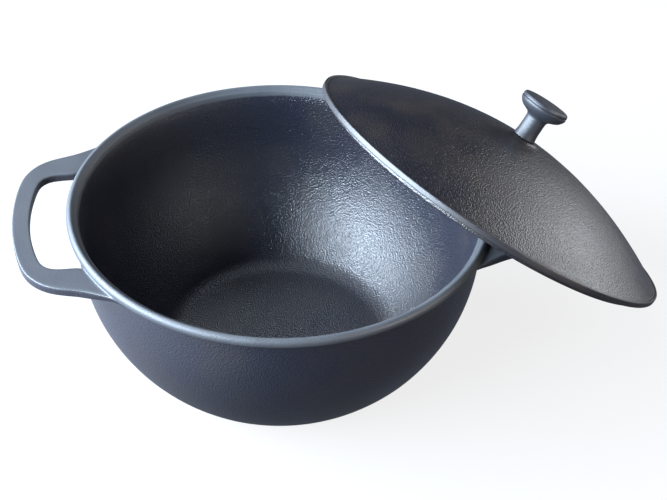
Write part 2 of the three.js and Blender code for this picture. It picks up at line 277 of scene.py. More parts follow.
def finish_piece(bm, name, body, node, material, place=None, smoothing=2, waviness=0.0):
    """Makes the object, smooths it, gives it its finish and hangs it on its body."""
    if place is not None:
        bmesh.ops.transform(bm, matrix=place, verts=bm.verts)
    if not bm.faces:
        raise RuntimeError(f"{name} has no faces")
    for face in bm.faces:
        face.smooth = True
    mesh = bpy.data.meshes.new(name)
    bm.to_mesh(mesh)
    bm.free()
    mesh.materials.append(material)
    if not smoothing:
        mesh.set_sharp_from_angle(angle=SHARP_ANGLE)
    piece = bpy.data.objects.new(name, mesh)
    bpy.context.scene.collection.objects.link(piece)
    if smoothing:
        modifier = piece.modifiers.new("smooth", "SUBSURF")
        modifier.levels = modifier.render_levels = smoothing
    if waviness:
        unevenness = bpy.data.textures.new(name + "_unevenness", "CLOUDS")
        unevenness.noise_scale = 30 * MM
        unevenness.noise_depth = 1
        wave = piece.modifiers.new("unevenness", "DISPLACE")
        wave.texture = unevenness
        wave.texture_coords = "LOCAL"
        wave.mid_level = 0.5
        wave.strength = waviness
    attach(piece, body)
    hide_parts(node)


# ---------- material helpers ----------


class Tree:
    """Short ways to add and join shader nodes."""

    def __init__(self, tree):
        self.tree = tree

    def add(self, kind, **settings):
        node = self.tree.nodes.new(kind)
        for key, value in settings.items():
            setattr(node, key, value)
        return node

    def join(self, source, target):
        self.tree.links.new(source, target)

    def feed(self, socket, value):
        if isinstance(value, bpy.types.NodeSocket):
            self.join(value, socket)
        else:
            socket.default_value = value

    def math(self, operation, first, second):
        node = self.add("ShaderNodeMath", operation=operation)
        self.feed(node.inputs[0], first)
        self.feed(node.inputs[1], second)
        return node.outputs[0]

    def noise(self, position, scale, detail=2.0):
        node = self.add("ShaderNodeTexNoise")
        self.feed(node.inputs["Vector"], position)
        self.feed(node.inputs["Scale"], scale)
        node.inputs["Detail"].default_value = detail
        return node.outputs["Fac"]

    def remap(self, value, low, high, to_low=0.0, to_high=1.0):
        node = self.add("ShaderNodeMapRange", interpolation_type="SMOOTHSTEP")
        self.feed(node.inputs["Value"], value)
        for socket, number in zip(("From Min", "From Max", "To Min", "To Max"), (low, high, to_low, to_high)):
            self.feed(node.inputs[socket], number)
        return node.outputs["Result"]

    def mix(self, factor, first, second):
        node = self.add("ShaderNodeMix", data_type="RGBA")
        self.feed(node.inputs[0], factor)
        self.feed(node.inputs[6], first)
        self.feed(node.inputs[7], second)
        return node.outputs[2]


def new_group(name, inputs, outputs):
    group = bpy.data.node_groups.new(name, "ShaderNodeTree")
    for label, kind in inputs:
        group.interface.new_socket(name=label, in_out="INPUT", socket_type=kind)
    for label, kind in outputs:
        group.interface.new_socket(name=label, in_out="OUTPUT", socket_type=kind)
    tree = Tree(group)
    return group, tree, tree.add("NodeGroupInput").outputs, tree.add("NodeGroupOutput").inputs


def cast_grain_group():
    """Orange-peel skin that moulding sand leaves: close lumps, a few pits and broad patches."""
    name = "cast_grain"
    if name in bpy.data.node_groups:
        return bpy.data.node_groups[name]
    group, tree, given, result = new_group(
        name,
        [("Position", "NodeSocketVector"), ("Lumps per metre", "NodeSocketFloat")],
        [("Height", "NodeSocketFloat"), ("Pits", "NodeSocketFloat"), ("Patches", "NodeSocketFloat")],
    )
    lumps = tree.noise(given["Position"], given["Lumps per metre"], detail=0.6)
    coarse_scale = tree.math("MULTIPLY", given["Lumps per metre"], 0.3)
    coarse = tree.noise(given["Position"], coarse_scale, detail=1.0)
    pit_scale = tree.math("MULTIPLY", given["Lumps per metre"], 0.22)
    cells = tree.add("ShaderNodeTexVoronoi", feature="F1")
    tree.join(given["Position"], cells.inputs["Vector"])
    tree.join(pit_scale, cells.inputs["Scale"])
    pits = tree.remap(cells.outputs["Distance"], 0.06, 0.13, 1.0, 0.0)
    height = tree.math("ADD", lumps, tree.math("MULTIPLY", coarse, 0.15))
    sunk = tree.math("SUBTRACT", height, tree.math("MULTIPLY", pits, 0.35))
    tree.join(sunk, result["Height"])
    tree.join(pits, result["Pits"])
    tree.join(tree.noise(given["Position"], 22.0, detail=3.0), result["Patches"])
    return group


def seasoning_group():
    """Baked oil: darker and browner in patches, with a little more shine where it lies thicker."""
    name = "seasoning"
    if name in bpy.data.node_groups:
        return bpy.data.node_groups[name]
    group, tree, given, result = new_group(
        name,
        [("Patches", "NodeSocketFloat"), ("Pits", "NodeSocketFloat"), ("Iron", "NodeSocketColor"),
         ("Film", "NodeSocketColor"), ("Film amount", "NodeSocketFloat"), ("Roughness", "NodeSocketFloat")],
        [("Color", "NodeSocketColor"), ("Roughness", "NodeSocketFloat")],
    )
    film = tree.math("MULTIPLY", tree.remap(given["Patches"], 0.38, 0.66), given["Film amount"])
    tinted = tree.mix(film, given["Iron"], given["Film"])
    in_pit = tree.math("MULTIPLY", given["Pits"], 0.6)
    tree.join(tree.mix(in_pit, tinted, (0.006, 0.006, 0.007, 1)), result["Color"])
    change = tree.remap(given["Patches"], 0.3, 0.7, -0.05, 0.05)
    tree.join(tree.math("ADD", given["Roughness"], change), result["Roughness"])
    return group


def wear_and_highlight_group():
    """Mask for where hands and the lid wear the skin, and for a painted highlight on the tops of the rim and
    handles: above a height and outside a radius, with a ragged border.
    """
    name = "rubbed"
    if name in bpy.data.node_groups:
        return bpy.data.node_groups[name]
    group, tree, given, result = new_group(
        name,
        [("Position", "NodeSocketVector"), ("Height", "NodeSocketFloat"), ("Radius", "NodeSocketFloat")],
        [("Mask", "NodeSocketFloat")],
    )
    axes = tree.add("ShaderNodeSeparateXYZ")
    tree.join(given["Position"], axes.inputs[0])
    flat = tree.add("ShaderNodeCombineXYZ")
    tree.join(axes.outputs["X"], flat.inputs["X"])
    tree.join(axes.outputs["Y"], flat.inputs["Y"])
    reach = tree.add("ShaderNodeVectorMath", operation="LENGTH")
    tree.join(flat.outputs[0], reach.inputs[0])
    ragged = tree.math("MULTIPLY", tree.noise(given["Position"], 160.0, detail=3.0), 1.2 * MM)
    above = tree.math("SUBTRACT", tree.math("ADD", axes.outputs["Z"], ragged), given["Height"])
    outside = tree.math("SUBTRACT", tree.math("ADD", reach.outputs["Value"], ragged), given["Radius"])
    high = tree.remap(above, 0.0, 1.5 * MM)
    wide = tree.remap(outside, 0.0, 1.2 * MM)
    # Uneven strength of the worn skin and of its painted highlight.
    worn = tree.remap(tree.noise(given["Position"], 60.0, detail=4.0), 0.25, 0.7, 0.75, 1.0)
    beyond_rim = tree.remap(outside, 8.5 * MM, 11.5 * MM, 1.0, 0.6)
    reached = tree.math("MULTIPLY", tree.math("MULTIPLY", high, wide), beyond_rim)
    tree.join(tree.math("MULTIPLY", reached, worn), result["Mask"])
    return group


def iron(name, colour, film, roughness, specular, grain, depth, wear_and_highlight_from=None, smooth_beyond=None):
    """Seasoned cast iron. Worn, and lighter as a painted highlight, above a height and outside a radius, or
    smoother far from the lid's axis.
    """
    finishes = bpy.context.scene.oven_finishes
    material = bpy.data.materials.new(name)
    material.use_nodes = True
    tree = Tree(material.node_tree)
    shader = material.node_tree.nodes["Principled BSDF"]
    position = tree.add("ShaderNodeTexCoord").outputs["Object"]
    skin = tree.add("ShaderNodeGroup", node_tree=cast_grain_group())
    tree.join(position, skin.inputs["Position"])
    skin.inputs["Lumps per metre"].default_value = 1 / grain
    oil = tree.add("ShaderNodeGroup", node_tree=seasoning_group())
    tree.join(skin.outputs["Patches"], oil.inputs["Patches"])
    tree.join(skin.outputs["Pits"], oil.inputs["Pits"])
    oil.inputs["Iron"].default_value = (*colour, 1)
    oil.inputs["Film"].default_value = (*finishes.warm_film, 1)
    oil.inputs["Film amount"].default_value = film
    oil.inputs["Roughness"].default_value = roughness
    bump = tree.add("ShaderNodeBump")
    bump.inputs["Distance"].default_value = depth
    bump.inputs["Strength"].default_value = 1.0
    tree.join(skin.outputs["Height"], bump.inputs["Height"])
    colour_now, roughness_now = oil.outputs["Color"], oil.outputs["Roughness"]
    if smooth_beyond is not None:
        upright = tree.add("ShaderNodeMapping", vector_type="TEXTURE")
        tree.join(position, upright.inputs["Vector"])
        upright.inputs["Location"].default_value = lid_place().to_translation()
        upright.inputs["Rotation"].default_value = lid_place().to_euler()
        from_axis = tree.add("ShaderNodeVectorMath", operation="MULTIPLY")
        tree.join(upright.outputs[0], from_axis.inputs[0])
        from_axis.inputs[1].default_value = (1, 1, 0)
        reach = tree.add("ShaderNodeVectorMath", operation="LENGTH")
        tree.join(from_axis.outputs[0], reach.inputs[0])
        edge = tree.remap(reach.outputs["Value"], smooth_beyond - 2 * MM, smooth_beyond)
        tree.join(tree.remap(edge, 0.0, 1.0, 1.0, 0.2), bump.inputs["Strength"])
        roughness_now = tree.math("ADD", roughness_now, tree.math("MULTIPLY", edge, 0.12))
    if wear_and_highlight_from is not None:
        # Worn skin and painted highlight: lighter, half-metallic, rougher iron on the rim and handle tops.
        wear = tree.add("ShaderNodeGroup", node_tree=wear_and_highlight_group())
        tree.join(position, wear.inputs["Position"])
        wear.inputs["Height"].default_value, wear.inputs["Radius"].default_value = wear_and_highlight_from
        mask = wear.outputs["Mask"]
        colour_now = tree.mix(mask, colour_now, (*finishes.worn_and_highlit_iron, 1))
        roughness_now = tree.math("ADD", roughness_now, tree.math("MULTIPLY", mask, 0.26))
        tree.join(tree.math("MULTIPLY", mask, 0.35), shader.inputs["Metallic"])
        tree.join(tree.remap(mask, 0.0, 0.5, 1.0, 0.25), bump.inputs["Strength"])
    tree.join(colour_now, shader.inputs["Base Color"])
    tree.join(roughness_now, shader.inputs["Roughness"])
    tree.join(bump.outputs["Normal"], shader.inputs["Normal"])
    shader.inputs["Specular IOR Level"].default_value = specular
    shader.inputs["IOR"].default_value = 1.6
    return material


def steel(name):
    """Plated steel with fine marks from rolling and from the spanner."""
    finishes = bpy.context.scene.oven_finishes
    material = bpy.data.materials.new(name)
    material.use_nodes = True
    tree = Tree(material.node_tree)
    shader = material.node_tree.nodes["Principled BSDF"]
    position = tree.add("ShaderNodeTexCoord").outputs["Object"]
    marks = tree.noise(position, 900.0, detail=3.0)
    cloud = tree.noise(position, 160.0)
    dull = tuple(channel * 0.7 for channel in finishes.steel) + (1,)
    tree.join(tree.mix(cloud, (*finishes.steel, 1), dull), shader.inputs["Base Color"])
    tree.join(tree.remap(marks, 0.3, 0.7, 0.28, 0.42), shader.inputs["Roughness"])
    bump = tree.add("ShaderNodeBump")
    bump.inputs["Distance"].default_value = 0.03 * MM
    tree.join(marks, bump.inputs["Height"])
    tree.join(bump.outputs["Normal"], shader.inputs["Normal"])
    shader.inputs["Metallic"].default_value = 1.0
    return material


# ---------- pot casting ----------


def pot_outline(pot):
    """Half section of the bowl, from the middle of the underside round to the middle of the floor."""
    wall_top = pot.height - 2 * pot.bead_radius
    wall_radius = pot.rim_radius - pot.rim_step
    lean = math.tan(pot.wall_taper)
    shoulder_fall = wall_top - pot.height + pot.shoulder_drop
    shoulder = Vector((wall_radius - shoulder_fall * lean, pot.height - pot.shoulder_drop))
    outward = Vector((math.cos(pot.wall_taper), -math.sin(pot.wall_taper)))
    chord = Vector((shoulder.x - pot.base_radius, shoulder.y))
    side_radius = chord.length_squared / (2 * chord.dot(outward))
    side = shoulder - side_radius * outward

    def fillet_centre(radius, level, fillet):
        reach = radius - fillet
        rise = side.y - level - fillet
        return Vector((side.x + math.sqrt(reach**2 - rise**2), level + fillet))

    inner_radius = side_radius - pot.wall
    base = fillet_centre(side_radius, 0, pot.base_fillet)
    floor = fillet_centre(inner_radius, pot.floor, pot.floor_fillet)
    base_turn = math.atan2(base.y - side.y, base.x - side.x)
    floor_turn = math.atan2(floor.y - side.y, floor.x - side.x)
    rim_inner = pot.rim_radius - pot.rim_width
    inner_wall = wall_radius - pot.wall
    ledge = pot.height - pot.ledge_drop
    lowest_root = root_rows(pot)[0][1] - 6 * MM
    return [
        *between((0, 0), (base.x, 0), 6)[:-1],
        *arc(base, pot.base_fillet, -math.pi / 2, base_turn, 3),
        *arc(side, side_radius, base_turn, -pot.wall_taper, 11)[1:],
        (wall_radius - (wall_top - lowest_root) * lean, lowest_root),
        *root_rows(pot),
        *bead_rows(pot)[3:],
        (rim_inner + 1.6 * MM, ledge + 0.75 * MM),
        (rim_inner + 0.45 * MM, ledge + 0.12 * MM),
        (rim_inner + 0.02 * MM, ledge - 0.5 * MM),
        (inner_wall + 1.5 * MM, wall_top + 0.8 * MM),
        (inner_wall + 0.7 * MM, wall_top - 2 * MM),
        (inner_wall, wall_top - 6 * MM),
        *arc(side, inner_radius, -pot.wall_taper, floor_turn, 10)[:-1],
        *arc(floor, pot.floor_fillet, floor_turn, -math.pi / 2, 5),
        *between((floor.x, pot.floor), (0, pot.floor), 6)[1:],
    ]


def bead_rows(pot):
    """The rim's rounded bead, from its lower side round to its top."""
    bead = Vector((pot.rim_radius - pot.bead_radius, pot.height - pot.bead_radius))
    return arc(bead, pot.bead_radius, -math.pi / 3, math.pi / 2, 7)


def root_rows(pot):
    """Radius and height of the rings that a handle grows out of: the top of the wall and half the bead."""
    handle = bpy.context.scene.oven_handles
    wall_top = pot.height - 2 * pot.bead_radius
    wall_radius = pot.rim_radius - pot.rim_step
    lean = math.tan(pot.wall_taper)
    bottom = pot.height - handle.drop - handle.thickness
    wall = [bottom - 1.2 * MM, bottom + 1.4 * MM]
    rows = [(wall_radius - (wall_top - height) * lean, height) for height in wall]
    return [*rows, (wall_radius + 0.3 * MM, wall_top - 0.2 * MM), *bead_rows(pot)[:3]]


def handle_curves(pot, handle):
    """The loop's outer edge and its finger opening, as matching curves from the front root to the middle."""
    half = handle.half_length
    outer = handle.outer
    opening = half - handle.arm
    bar = outer - handle.bar
    arm_end = outer - handle.arm_inset
    outer_root = Vector((pot.rim_radius - 25 * MM, -half - 14.5 * MM))
    outer_flare = Vector((pot.rim_radius - 12 * MM, -half - 4 * MM))
    outer_arm = Vector((arm_end, -half - 2 * MM))
    outer_corner = Vector((outer - handle.corner_inset, -half + 2 * MM))
    outer_bar = Vector((outer - handle.bar_inset, -half + handle.bar_end))
    inner_root = Vector((pot.rim_radius - 14 * MM, -opening - 1 * MM))
    inner_flare = Vector((pot.rim_radius - 4 * MM, -opening - 1 * MM))
    inner_arm = Vector((arm_end, -opening - 1 * MM))
    inner_corner = Vector((bar - 8 * MM, -opening - 2 * MM))
    inner_bar = Vector((bar - 5 * MM, -opening + 10 * MM))
    flip = Vector((1, -1))
    outer_curves = [
        (outer_root, outer_flare, outer_arm),
        (outer_arm, outer_corner, outer_bar),
        (outer_bar, Vector((outer + handle.bar_inset, 0)), outer_bar * flip),
    ]
    inner_curves = [
        (inner_root, inner_flare, inner_arm),
        (inner_arm, inner_corner, inner_bar),
        (inner_bar, Vector((bar + 5 * MM, 0)), inner_bar * flip),
    ]
    return list(zip(outer_curves, inner_curves))


def handle_stations(pot, handle):
    """Matching points on the opening and on the outer edge, from the front root round to the back root."""
    arm, corner, bar = handle_curves(pot, handle)
    stations = []
    stretches = [(arm, (0.38, 0.7)), (corner, (0, 0.25, 0.5, 0.75)), (bar, (0, 1 / 6, 1 / 3))]
    for (outer, inner), spots in stretches:
        stations += [(curve(*inner, t), curve(*outer, t)) for t in spots]
    flip = Vector((1, -1))
    middle = [(curve(*bar[1], 0.5), curve(*bar[0], 0.5))]
    return stations + middle + [(inside * flip, outside * flip) for inside, outside in reversed(stations)]


# Where the handle's rows of vertices lie, as shares of its width and of its thickness.
ACROSS = (0, 0.15, 0.5, 0.85, 1)
UP = (0, 0.22, 0.42, 0.58, 0.78, 1)
# Round the section: from the opening's lower edge out along the bottom and back along the top.
SECTION = [(across, 0) for across in range(5)] + [(4, up) for up in range(1, 6)]
SECTION += [(across, 5) for across in (3, 2, 1, 0)] + [(0, up) for up in (4, 3, 2, 1)]


def nearest(bm, place):
    return min(bm.verts, key=lambda vert: (vert.co - place).length_squared)


def root_ring(bm, pot, side, end):
    """Opens the wall where one arm grows out of it, and returns the edge ring of the opening."""
    handle = bpy.context.scene.oven_handles
    step = math.tau / pot.segments
    grid = {}
    for across in range(len(ACROSS)):
        turn = end * (handle.root_start + across) * step
        direction = Vector((side * math.cos(turn), side * math.sin(turn), 0))
        for up, (radius, height) in enumerate(root_rows(pot)):
            grid[across, up] = nearest(bm, direction * radius + Vector((0, 0, height)))
    ring = [grid[slot] for slot in SECTION]
    inside = [vert for slot, vert in grid.items() if slot not in SECTION]
    bmesh.ops.delete(bm, geom=inside, context="VERTS")
    return ring


def ring_edges(bm, ring):
    return [bm.edges.get(pair) for pair in zip(ring, ring[1:] + ring[:1])]


def grow(bm, ring, places):
    """Extrudes a ring of edges to new places, and returns the new ring in the same order."""
    grown = bmesh.ops.extrude_edge_only(bm, edges=ring_edges(bm, ring))["geom"]
    fresh = {part for part in grown if isinstance(part, bmesh.types.BMVert)}
    new_ring = []
    for vert, place in zip(ring, places):
        partner = next(edge.other_vert(vert) for edge in vert.link_edges if edge.other_vert(vert) in fresh)
        partner.co = place
        new_ring.append(partner)
    return new_ring


def add_handle(bm, pot, side):
    """Grows one loop handle out of the wall: extruded arm, corners and bar, sewn to the other root."""
    handle = bpy.context.scene.oven_handles
    top = pot.height - handle.drop
    heights = [top - handle.thickness * (1 - share) for share in UP]
    front = root_ring(bm, pot, side, -1)
    back = root_ring(bm, pot, side, 1)
    ring = front
    for inside, outside in handle_stations(pot, handle):
        places = []
        for across, up in SECTION:
            spot = inside.lerp(outside, ACROSS[across]) * side
            places.append(Vector((spot.x, spot.y, heights[up])))
        ring = grow(bm, ring, places)
    last = grow(bm, ring, [vert.co for vert in back])
    bmesh.ops.remove_doubles(bm, verts=last + back, dist=SAME_PLACE)


class OVEN_OT_pot(bpy.types.Operator):
    """Make the pot: bowl, beaded rim and two loop handles in one casting"""

    bl_idname = "oven.make_pot"
    bl_label = "Pot casting"

    def execute(self, context):
        pot = context.scene.oven_pot
        finishes = context.scene.oven_finishes
        bm = spin_outline(pot_outline(pot), pot.segments)
        for side in (1, -1):
            add_handle(bm, pot, side)
        bmesh.ops.recalc_face_normals(bm, faces=bm.faces)
        material = iron(
            "pot_seasoned_iron", finishes.pot_iron, film=0.3, roughness=0.34, specular=0.5,
            grain=finishes.grain_size, depth=finishes.grain_depth,
            wear_and_highlight_from=(finishes.wear_and_highlight_above, finishes.wear_and_highlight_outside),
        )
        finish_piece(bm, "pot_casting", "pot", "pot_body", material, waviness=0.15 * MM)
        return {"FINISHED"}


# ---------- lid casting ----------


def lid_levels(lid, knob):
    """Heights that the lid shares with the knob and its fastening, above the groove."""
    pad_top = lid.dome_height + lid.pad_height
    boss_bottom = lid.dome_height - lid.thickness - lid.boss_height
    washer_top = boss_bottom - knob.gap
    lock_top = washer_top - knob.flat_washer_thickness - knob.gap
    seat = lock_top - knob.lock_washer_thickness - knob.gap
    return {
        "pad_top": pad_top, "boss_bottom": boss_bottom, "knob_foot": pad_top + knob.gap,
        "washer_top": washer_top, "lock_top": lock_top, "screw_seat": seat,
        "screw_tip": seat + knob.screw_length,
    }


def lid_outline(pot, lid, levels):
    """Closed half section of the lid: boss, hollow, skirt, seat, edge bead, groove, dome, pad and bore."""
    edge = pot.rim_radius - lid.inset
    groove = edge - lid.bead_width
    skirt_outer = pot.rim_radius - pot.rim_width - lid.skirt_clearance
    skirt_inner = skirt_outer - lid.skirt_thickness
    skirt_bottom = -lid.edge_height - lid.skirt_depth
    seat = -lid.edge_height

    def dome(radius):
        return lid.dome_height * (1 - (radius / groove) ** 2)

    def under(radius):
        return dome(radius) - lid.thickness

    rows = 15
    hollow_start = lid.boss_radius + 3 * MM
    hollow = [hollow_start + (skirt_inner - 3 * MM - hollow_start) * i / rows for i in range(rows + 1)]
    dome_start = lid.pad_radius + 4 * MM
    dome_end = groove - 2.5 * MM
    outside = [dome_end + (dome_start - dome_end) * i / rows for i in range(rows + 1)]
    bore_top, bore_bottom = levels["pad_top"], levels["boss_bottom"]
    return [
        (lid.bore, bore_top - 0.5 * MM),
        (lid.bore, bore_bottom + 0.5 * MM),
        (lid.bore + 0.1 * MM, bore_bottom + 0.1 * MM),
        (lid.bore + 0.5 * MM, bore_bottom),
        (lid.boss_radius - 0.8 * MM, bore_bottom),
        (lid.boss_radius, bore_bottom + 0.2 * MM),
        (lid.boss_radius + 0.6 * MM, under(lid.boss_radius + 0.6 * MM) - 0.25 * MM),
        *[(radius, under(radius)) for radius in hollow],
        (skirt_inner - 0.8 * MM, under(skirt_inner - 0.8 * MM)),
        (skirt_inner, under(skirt_inner) - 1.2 * MM),
        (skirt_inner + 0.1 * MM, skirt_bottom + 1 * MM),
        (skirt_inner + 0.4 * MM, skirt_bottom + 0.2 * MM),
        (skirt_inner + 1.1 * MM, skirt_bottom),
        (skirt_outer - 1.1 * MM, skirt_bottom),
        (skirt_outer - 0.25 * MM, skirt_bottom + 0.2 * MM),
        (skirt_outer, skirt_bottom + 1 * MM),
        (skirt_outer, seat - 0.5 * MM),
        (skirt_outer + 0.1 * MM, seat - 0.1 * MM),
        (skirt_outer + 0.6 * MM, seat),
        (edge - 0.9 * MM, seat),
        (edge - 0.2 * MM, seat + 0.15 * MM),
        (edge, seat + 0.8 * MM),
        (edge, lid.bead_height - 1.1 * MM),
        (edge - 0.15 * MM, lid.bead_height - 0.3 * MM),
        (edge - 0.8 * MM, lid.bead_height + 0.02 * MM),
        (edge - 1.5 * MM, lid.bead_height - 0.05 * MM),
        (edge - 2.0 * MM, 0.05 * MM),
        (groove - 0.2 * MM, 0.02 * MM),
        (groove - 1.0 * MM, dome(groove - 1.0 * MM)),
        *[(radius, dome(radius)) for radius in outside],
        (lid.pad_radius + 1.9 * MM, dome(lid.pad_radius + 1.9 * MM) + 0.15 * MM),
        (lid.pad_radius + 0.6 * MM, bore_top - 0.35 * MM),
        (lid.pad_radius - 0.3 * MM, bore_top),
        (lid.bore + 2 * MM, bore_top),
        (lid.bore + 0.4 * MM, bore_top),
        (lid.bore + 0.05 * MM, bore_top - 0.1 * MM),
    ]


class OVEN_OT_lid(bpy.types.Operator):
    """Make the lid: dome, edge bead and groove, skirt, pad and boss"""

    bl_idname = "oven.make_lid"
    bl_label = "Lid casting"

    def execute(self, context):
        scene = context.scene
        lid = scene.oven_lid
        levels = lid_levels(lid, scene.oven_knob)
        bm = spin_outline(lid_outline(scene.oven_pot, lid, levels), lid.segments, closed=True)
        finishes = scene.oven_finishes
        groove = scene.oven_pot.rim_radius - lid.inset - lid.bead_width
        material = iron(
            "lid_seasoned_iron", finishes.lid_iron, film=0.5, roughness=0.36, specular=0.45,
            grain=finishes.grain_size, depth=finishes.grain_depth, smooth_beyond=groove,
        )
        finish_piece(bm, "lid_casting", "lid", "lid", material, lid_place(), waviness=0.12 * MM)
        return {"FINISHED"}


# ---------- knob and fastening ----------


def knob_outline(knob, levels):
    """Half section of the knob, from the bottom of its tapped hole round to the middle of its top."""
    foot = levels["knob_foot"]
    hole = knob.screw_radius + knob.gap
    groove_top = foot + knob.height - knob.groove_below_top
    groove_bottom = groove_top - knob.groove_width
    groove_radius = knob.head_radius - knob.groove_depth
    stem_top = foot + knob.stem_height
    under = stem_top + knob.head_fillet
    top = foot + knob.height
    radius = knob.head_radius
    return [
        (0, levels["screw_tip"] + 2 * MM),
        (hole * 0.6, levels["screw_tip"] + 1.5 * MM),
        (hole - 0.1 * MM, levels["screw_tip"] + 1.1 * MM),
        (hole, levels["screw_tip"] + 0.6 * MM),
        (hole, foot + 0.8 * MM),
        (hole + 0.1 * MM, foot + 0.15 * MM),
        (hole + 0.6 * MM, foot),
        (knob.foot_radius - 0.8 * MM, foot),
        (knob.foot_radius - 0.12 * MM, foot + 0.06 * MM),
        (knob.foot_radius, foot + 0.5 * MM),
        (knob.foot_radius - 0.15 * MM, foot + 1.6 * MM),
        (knob.stem_radius + 0.05 * MM, foot + knob.stem_height * 0.3),
        (knob.stem_radius, foot + knob.stem_height * 0.62),
        (knob.stem_radius, stem_top),
        (knob.stem_radius + 0.35 * MM, stem_top + 1.6 * MM),
        (knob.stem_radius + 1.4 * MM, under - 0.5 * MM),
        (knob.stem_radius + 3.0 * MM, under + 0.15 * MM),
        (radius * 0.68, under + 0.75 * MM),
        (radius * 0.84, under + 2.1 * MM),
        (radius * 0.945, under + 4.3 * MM),
        (radius * 0.99, groove_bottom - 1.6 * MM),
        (radius, groove_bottom - 0.55 * MM),
        (radius - 0.03 * MM, groove_bottom - 0.12 * MM),
        (radius - 0.25 * MM, groove_bottom + 0.02 * MM),
        (groove_radius, groove_bottom + 0.12 * MM),
        (groove_radius, groove_top - 0.12 * MM),
        (radius - 0.25 * MM, groove_top - 0.02 * MM),
        (radius - 0.05 * MM, groove_top + 0.12 * MM),
        (radius - 0.12 * MM, groove_top + 0.8 * MM),
        (radius - 0.35 * MM, top - 0.75 * MM),
        (radius - 0.75 * MM, top - 0.15 * MM),
        (radius - 1.6 * MM, top + 0.02 * MM),
        (radius * 0.7, top + knob.crown * 0.5),
        (radius * 0.4, top + knob.crown * 0.85),
        (radius * 0.15, top + knob.crown),
        (0, top + knob.crown),
    ]


class OVEN_OT_knob(bpy.types.Operator):
    """Make the turned mushroom knob"""

    bl_idname = "oven.make_knob"
    bl_label = "Knob"

    def execute(self, context):
        scene = context.scene
        knob = scene.oven_knob
        levels = lid_levels(scene.oven_lid, knob)
        bm = spin_outline(knob_outline(knob, levels), knob.segments)
        finishes = scene.oven_finishes
        material = iron(
            "knob_seasoned_iron", finishes.knob_iron, film=0.1, roughness=0.46, specular=0.4,
            grain=finishes.grain_size * 0.6, depth=finishes.grain_depth * 0.16,
        )
        finish_piece(bm, "turned_knob", "knob", "knob", material, lid_place())
        return {"FINISHED"}


def add_thread(bm, knob, start, end):
    """A V-shaped ridge wound round the shank, with its ends filled."""
    root = knob.screw_radius - knob.thread_depth
    half = knob.thread_pitch * 0.42
    turns = (end - start - 2 * half) / knob.thread_pitch
    points = [(root - 0.15 * MM, -half), (knob.screw_radius, -half * 0.2), (knob.screw_radius, half * 0.2),
              (root - 0.15 * MM, half)]
    verts = [bm.verts.new((radius, 0, start + half + height)) for radius, height in points]
    section = bm.faces.new(verts)
    steps = round(turns * SCREW_STEPS / 2)
    rise = Vector((0, 0, turns * knob.thread_pitch / steps))
    bmesh.ops.spin(
        bm, geom=[section], cent=(0, 0, 0), axis=(0, 0, 1), dvec=rise, angle=turns * math.tau,
        steps=steps, use_duplicate=False,
    )


def mesh_object(bm, name):
    """Object for a step of the making; it is removed again."""
    bmesh.ops.recalc_face_normals(bm, faces=bm.faces)
    mesh = bpy.data.meshes.new(name)
    bm.to_mesh(mesh)
    made = bpy.data.objects.new(name, mesh)
    bpy.context.scene.collection.objects.link(made)
    return made


def cut_slot(bm, knob, bottom):
    """Cuts the screwdriver slot across the head. The cut needs a mesh that doesn't cross itself."""
    blank = mesh_object(bm, "uncut_screw")
    block = bmesh.new()
    bmesh.ops.create_cube(block, size=1)
    extent = Matrix.Diagonal((4 * knob.screw_head_radius, knob.slot_width, 2 * knob.slot_depth, 1))
    bmesh.ops.transform(block, matrix=Matrix.Translation((0, 0, bottom)) @ extent, verts=block.verts)
    cutter = mesh_object(block, "slot_cutter")
    block.free()
    cut = blank.modifiers.new("slot", "BOOLEAN")
    cut.object = cutter
    cut.operation = "DIFFERENCE"
    cut.solver = "EXACT"
    bpy.context.view_layer.update()
    shaped = bpy.data.meshes.new_from_object(blank.evaluated_get(bpy.context.evaluated_depsgraph_get()))
    bm.clear()
    bm.from_mesh(shaped)
    bpy.data.objects.remove(blank)
    bpy.data.objects.remove(cutter)
    bpy.data.meshes.remove(shaped)


def screw_mesh(knob, levels):
    """Pan head screw with a straight slot and a cut thread."""
    seat, tip = levels["screw_seat"], levels["screw_tip"]
    bottom = seat - knob.screw_head_height
    head = knob.screw_head_radius
    root = knob.screw_radius - knob.thread_depth
    outline = [
        (0, bottom), (head * 0.45, bottom + 0.04 * MM), (head * 0.75, bottom + 0.22 * MM),
        (head - 0.45 * MM, bottom + 0.6 * MM), (head - 0.08 * MM, bottom + 1.1 * MM),
        (head, bottom + 1.35 * MM), (head, seat - 0.12 * MM), (head - 0.15 * MM, seat),
        (root + 0.2 * MM, seat), (root, seat + 0.3 * MM), (root, tip - 0.9 * MM),
        (root - 0.7 * MM, tip), (0, tip),
    ]
    bm = spin_outline(outline, SCREW_STEPS)
    cut_slot(bm, knob, bottom)
    add_thread(bm, knob, seat + 1.6 * MM, tip - 0.6 * MM)
    bmesh.ops.recalc_face_normals(bm, faces=bm.faces)
    return bm


def ring_section(inner, outer, bottom, top, edge):
    """Closed section of a flat ring with rounded edges."""
    return [
        (inner, bottom + edge), (inner + edge, bottom), (outer - edge, bottom), (outer, bottom + edge),
        (outer, top - edge), (outer - edge, top), (inner + edge, top), (inner, top - edge),
    ]


